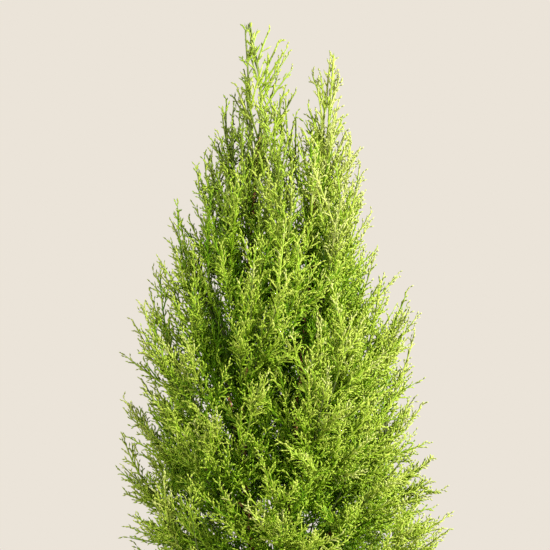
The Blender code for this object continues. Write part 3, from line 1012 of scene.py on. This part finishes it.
def coloured(finish, value, stops):
    """The base colour from a ramp of (position, colour) stops, read by a value."""
    nodes, links, shader = nodes_of(finish)
    ramp = nodes.new("ShaderNodeValToRGB")
    elements = ramp.color_ramp.elements
    for element, (position, colour) in zip(elements, (stops[0], stops[-1])):
        element.position = position
        element.color = (*colour, 1)
    for position, colour in stops[1:-1]:
        elements.new(position).color = (*colour, 1)
    links.new(value, ramp.inputs["Fac"])
    links.new(ramp.outputs["Color"], shader.inputs["Base Color"])


def rough(finish, value, low, high):
    """Roughness between two values, read by a value."""
    nodes, links, shader = nodes_of(finish)
    spread = nodes.new("ShaderNodeMapRange")
    spread.inputs["To Min"].default_value = low
    spread.inputs["To Max"].default_value = high
    links.new(value, spread.inputs["Value"])
    links.new(spread.outputs["Result"], shader.inputs["Roughness"])


def bumped(finish, value, strength, distance):
    """Fine relief read by a value."""
    nodes, links, shader = nodes_of(finish)
    bump = nodes.new("ShaderNodeBump")
    bump.inputs["Strength"].default_value = strength
    bump.inputs["Distance"].default_value = distance
    links.new(value, bump.inputs["Height"])
    links.new(bump.outputs["Normal"], shader.inputs["Normal"])


def new_finish(name):
    finish = bpy.data.materials.new(name)
    finish.use_nodes = True
    return finish


def bark_finish():
    """Red-brown bark in long thin flakes."""
    finish = new_finish("bark_red_brown")
    fibres = grain(finish, scale=900, stretch_z=0.12, detail=6)
    coloured(finish, fibres, (
        (0.30, (0.110, 0.042, 0.014)),
        (0.48, (0.260, 0.105, 0.036)),
        (0.60, (0.400, 0.180, 0.068)),
        (0.75, (0.500, 0.280, 0.130)),
    ))
    rough(finish, fibres, low=0.75, high=0.95)
    bumped(finish, fibres, strength=0.6, distance=0.0004)
    return finish


def twig_finish():
    """Young olive-green twigs, darkened as painted shade of the crown's inside, a little smoother than
    the bark.
    """
    finish = new_finish("twig_olive_green")
    fibres = grain(finish, scale=700, stretch_z=0.2, detail=4)
    # Very dark: partly the twigs' own olive-green, partly painted shade inside the crown
    coloured(finish, fibres, ((0.35, (0.030, 0.044, 0.006)), (0.65, (0.090, 0.120, 0.020))))
    rough(finish, fibres, low=0.6, high=0.85)
    bumped(finish, fibres, strength=0.4, distance=0.0002)
    return finish


def leaf_finish(name, colour, gloss):
    """Scale needles in one plain colour, with fine scales in roughness and relief."""
    finish = new_finish("leaf_" + name)
    _, _, shader = nodes_of(finish)
    shader.inputs["Base Color"].default_value = (*colour, 1)
    shader.inputs["Specular IOR Level"].default_value = gloss
    scales = grain(finish, scale=1400, stretch_z=1, detail=2)
    rough(finish, scales, low=0.42, high=0.62)
    bumped(finish, scales, strength=0.35, distance=0.0002)
    return finish


def bark_piece(node, shape, finish):
    """A limb's mesh in the place of its node."""
    made = piece(f"bark_{node}", *shape, finish)
    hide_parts(node)


def make_limbs(side_stems, rng):
    """Trunk, leaders and boughs with bark relief, and the stems of the masses and between them."""
    bark = bark_finish()
    bark_piece("trunk", trunk(), bark)
    for i, side in enumerate(SIDES):
        line = stretch(LEADERS[side], 0, BARK_SHARE, LINE_STEPS)
        line = np.vstack((lerp(np.array(INSIDE_TRUNK), line[0], INSIDE_SHARE), line))
        bark_piece(f"leader_{side}", limb(line, LEADER_RADII, LEADER_SIDES, LEADER_SEED + i), bark)
    stems = []
    for number, (name, line) in enumerate(LINES):
        if name.endswith("top"):
            continue
        start = 0.0
        if HAS_BOUGH[name]:
            own = stretch(line, 0, BOUGH_SHARE, LINE_STEPS)
            bark_piece(f"bough_{name}", limb(own, BOUGH_RADII, BOUGH_SIDES, BOUGH_SEED + number), bark)
            start = BOUGH_SHARE
        if line[-1, 2] < SHOULDER:
            own = stretch(line, start, 1, LINE_STEPS)
            stems.append(limb(own, STEM_RADII, STEM_SIDES, STEM_SEED + number))
    low = side_stems[side_stems[:, -1, 2] < SHOULDER]
    radii = tapering(SIDE_STEM_RADII, SIDE_STEM_STEPS, len(low))
    stems.append(expanded(*spikes(low, radii, rng, SIDE_STEM_SIDES)))
    made = piece("stems", *merged(stems), twig_finish())


def tapering(radii, steps, count):
    """The radii at each step from the first to the second, for each of a number of lines."""
    return np.linspace(*radii, steps)[None].repeat(count, 0)


def tone_of(points, chance, rng):
    """How bright the leaves are at each point: more so further out, as own colour and as painted shade
    within, and higher up and to the right as painted light.
    """
    open_top = np.interp(points[:, 2], TOP_TONE_HEIGHTS, (0, 1))
    # Lighter further out: partly the leaves' own colour, partly painted shade towards the axis
    out = outness(points)
    tone = lerp(out, TOP_TONE, open_top)
    # Painted light and shade on the left: inner leaves darker, outer ones lighter
    leftward = points[:, 0].clip(LEFT_LIMIT, 0)
    tone = tone - LEFT_PAINTED_LIGHT_AND_SHADE * leftward * (out - EVEN_OUTNESS) * (1 - open_top)
    # Painted light: lighter higher up
    tone = tone + HEIGHT_PAINTED_LIGHT * (points[:, 2] - MIDDLE_TONE_HEIGHT)
    # Painted light: lighter to the right, more so on the top
    tone = tone + RIGHT_PAINTED_LIGHT * points[:, 0].clip(0) + TOP_RIGHT_PAINTED_LIGHT * open_top * points[:, 0]
    return tone + rng.normal(0, chance, len(points)) * (1 + TOP_VARIETY * open_top)


def touched_with_olive(tones, points, rng):
    """The tones, with that of olive as painted shade for the dark leaves near the left leader's top."""
    share = np.interp(points[:, 2], OLIVE_HEIGHTS, (0, 1)) * (points[:, 0] < border_between(points[:, 2]))
    return np.where((tones < OLIVE_BELOW) & (rng.random(len(points)) < share), OLIVE_TONE, tones)


def colour_numbers(tones):
    """The number of the leaf colour that each tone chooses."""
    limits = np.array([limit for _, _, limit, _ in LEAF_COLOURS])
    return (tones[:, None] < limits).sum(axis=1).clip(0, len(limits) - 1)


def green_twigs(side_stems):
    """(lines, radii) of the leaders' green ends and of the stems above the crown's shoulder."""
    lines = np.array(
        [stretch(LEADERS[side], GREEN_SHARE, 1, SIDE_STEM_STEPS) for side in SIDES]
        + [stretch(line, 0, 1, SIDE_STEM_STEPS) for _, line in LINES if line[-1, 2] > SHOULDER]
        + list(side_stems[side_stems[:, -1, 2] > SHOULDER]))
    radii = tapering(GREEN_RADII, SIDE_STEM_STEPS, len(lines))
    radii[len(SIDES):] *= GREEN_STEM_SHARE
    return lines, radii


def grow_foliage(side_stems, rng):
    """(lines, radii, tones) of each kind of twig and leaf."""
    branches = grow_branches(side_stems, rng)
    plumes = np.concatenate((plumes_on(branches, rng), plumes_on_leaders(rng)))
    branch_radii = BRANCH_RADIUS * tapering(AXIS_TAPER, CURVE_STEPS, len(branches))
    plume_radii = PLUME_RADIUS * tapering(AXIS_TAPER, PLUME_STEPS, len(plumes))
    green, green_radii = green_twigs(side_stems)
    kinds = [
        (branches, branch_radii, tone_of(branches[:, -2], AXIS_CHANCE, rng) - SHOOT_LIGHTER),
        (plumes, plume_radii, tone_of(plumes[:, -2], AXIS_CHANCE, rng) - SHOOT_LIGHTER),
        (green, green_radii, tone_of(green[:, -2], GREEN_CHANCE, rng) - SHOOT_LIGHTER),
    ]
    for axes, _, axis_tones in kinds[:2]:
        tones = axis_tones + SHOOT_LIGHTER
        shoots, shoot_radii, axis_of, share = shoots_on(axes, rng)
        shoot_tones = lerp(tone_of(shoots[:, 1], SHOOT_CHANCE, rng), tones[axis_of], AXIS_SHARE)
        shoot_tones = shoot_tones + END_LIGHTER * (share - 0.5)
        kinds.append((shoots, shoot_radii, shoot_tones))
        outer = outness(shoots[:, 1]) > BUD_OUTNESS
        buds, bud_radii, shoot_of = buds_on(shoots[outer], rng)
        kinds.append((buds, bud_radii, shoot_tones[outer][shoot_of]))
    grown = []
    for lines, radii, tones in kinds:
        stouter = np.interp(lines[:, -1, 2], STOUTER_HEIGHTS, (1, STOUTEST))[:, None]
        grown.append((lines, radii * stouter, touched_with_olive(tones, lines[:, -1], rng)))
    return grown


def make_foliage(side_stems, rng):
    """All sprays, joined by colour. The masses of foliage are hidden when the first piece is made."""
    kinds = grow_foliage(side_stems, rng)
    solids = sorted(name for name in frame["nodes"] if name.startswith("foliage"))
    for number, (name, colour, _, gloss) in enumerate(LEAF_COLOURS):
        finish = leaf_finish(name, colour, gloss)
        shapes = []
        for lines, radii, tones in kinds:
            chosen = colour_numbers(tones) == number
            shapes.append(expanded(*spikes(lines[chosen], radii[chosen], rng)))
        for part, shape in enumerate(in_parts(shapes)):
            made = piece(f"sprays_{name}_{part + 1}", *shape, finish)
            if (number, part) == (0, 0):
                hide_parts(*solids)


def in_parts(shapes):
    """The shapes dealt out over as few parts of about the same size as their triangles allow."""
    parts = math.ceil(sum(len(triangles) for _, triangles in shapes) / PIECE_TRIANGLES)
    for part in range(parts):
        chosen = []
        for vertices, triangles in shapes:
            cut = len(triangles) * np.array((part, part + 1)) // parts
            some = triangles[cut[0]:cut[1]]
            if len(some):
                used, indices = np.unique(some, return_inverse=True)
                chosen.append((vertices[used], indices.reshape(-1, 3)))
        yield merged(chosen)


def soft_box(name, place, size, power, colour):
    """A square area light that looks at the crown's middle."""
    light = bpy.data.lights.new(name, "AREA")
    light.size = size
    light.energy = power
    light.color = colour
    made = bpy.data.objects.new(name, light)
    made.location = place
    away = np.array(place) - np.array(CROWN_MIDDLE)
    level = math.hypot(away[0], away[1])
    made.rotation_euler = (math.atan2(level, away[2]), 0, math.atan2(away[1], away[0]) + math.pi / 2)
    bpy.context.scene.collection.objects.link(made)


def make_camera():
    """The camera, and the view transform that keeps the leaves' strong colour."""
    scene = bpy.context.scene
    scene.view_settings.view_transform = "Standard"
    eye = bpy.data.cameras.new("camera")
    eye.lens = eye.sensor_width * -CAMERA_PLACE[1] / VIEW_WIDTH
    made = bpy.data.objects.new("camera", eye)
    made.location = CAMERA_PLACE
    made.rotation_euler = (math.pi / 2, 0, 0)
    scene.collection.objects.link(made)
    scene.camera = made


def make_surroundings():
    """Soft light from all sides, seen by the camera as an even pale backdrop."""
    world = bpy.data.worlds.new("surroundings")
    world.use_nodes = True
    nodes, links = world.node_tree.nodes, world.node_tree.links
    light = nodes["Background"]
    light.inputs["Color"].default_value = (*AMBIENT_COLOUR, 1)
    light.inputs["Strength"].default_value = AMBIENT
    backdrop = nodes.new("ShaderNodeBackground")
    backdrop.inputs["Color"].default_value = (*BACKDROP, 1)
    seen = nodes.new("ShaderNodeLightPath")
    mixed = nodes.new("ShaderNodeMixShader")
    links.new(seen.outputs["Is Camera Ray"], mixed.inputs["Fac"])
    links.new(light.outputs["Background"], mixed.inputs[1])
    links.new(backdrop.outputs["Background"], mixed.inputs[2])
    links.new(mixed.outputs["Shader"], nodes["World Output"].inputs["Surface"])
    bpy.context.scene.world = world


def make_floor():
    """A plain round floor."""
    mesh = bpy.data.meshes.new("floor")
    angles = 2 * math.pi * np.arange(FLOOR_SIDES) / FLOOR_SIDES
    rim = FLOOR_RADIUS * np.stack((np.cos(angles), np.sin(angles), 0 * angles), axis=1)
    mesh.from_pydata(rim.tolist(), [], [tuple(range(FLOOR_SIDES))])
    ground = new_finish("floor_pale")
    _, _, shader = nodes_of(ground)
    shader.inputs["Base Color"].default_value = (*FLOOR_COLOUR, 1)
    rough(ground, grain(ground, scale=8, stretch_z=1, detail=2), low=0.8, high=0.95)
    mesh.materials.append(ground)
    floor = bpy.data.objects.new("floor", mesh)
    bpy.context.scene.collection.objects.link(floor)


def clear_startup():
    """Remove what a new file in Blender starts with."""
    for old in list(bpy.data.objects):
        if old.type in ("CAMERA", "LIGHT") or old.name == "Cube":
            bpy.data.objects.remove(old)


clear_startup()
growth = np.random.default_rng((SEED, GROWTH_SEED))
own_side_stems = grow_side_stems(growth)
make_limbs(own_side_stems, growth)
make_foliage(own_side_stems, growth)
make_camera()
make_surroundings()
make_floor()
for lamp in LIGHTS:
    soft_box(*lamp)
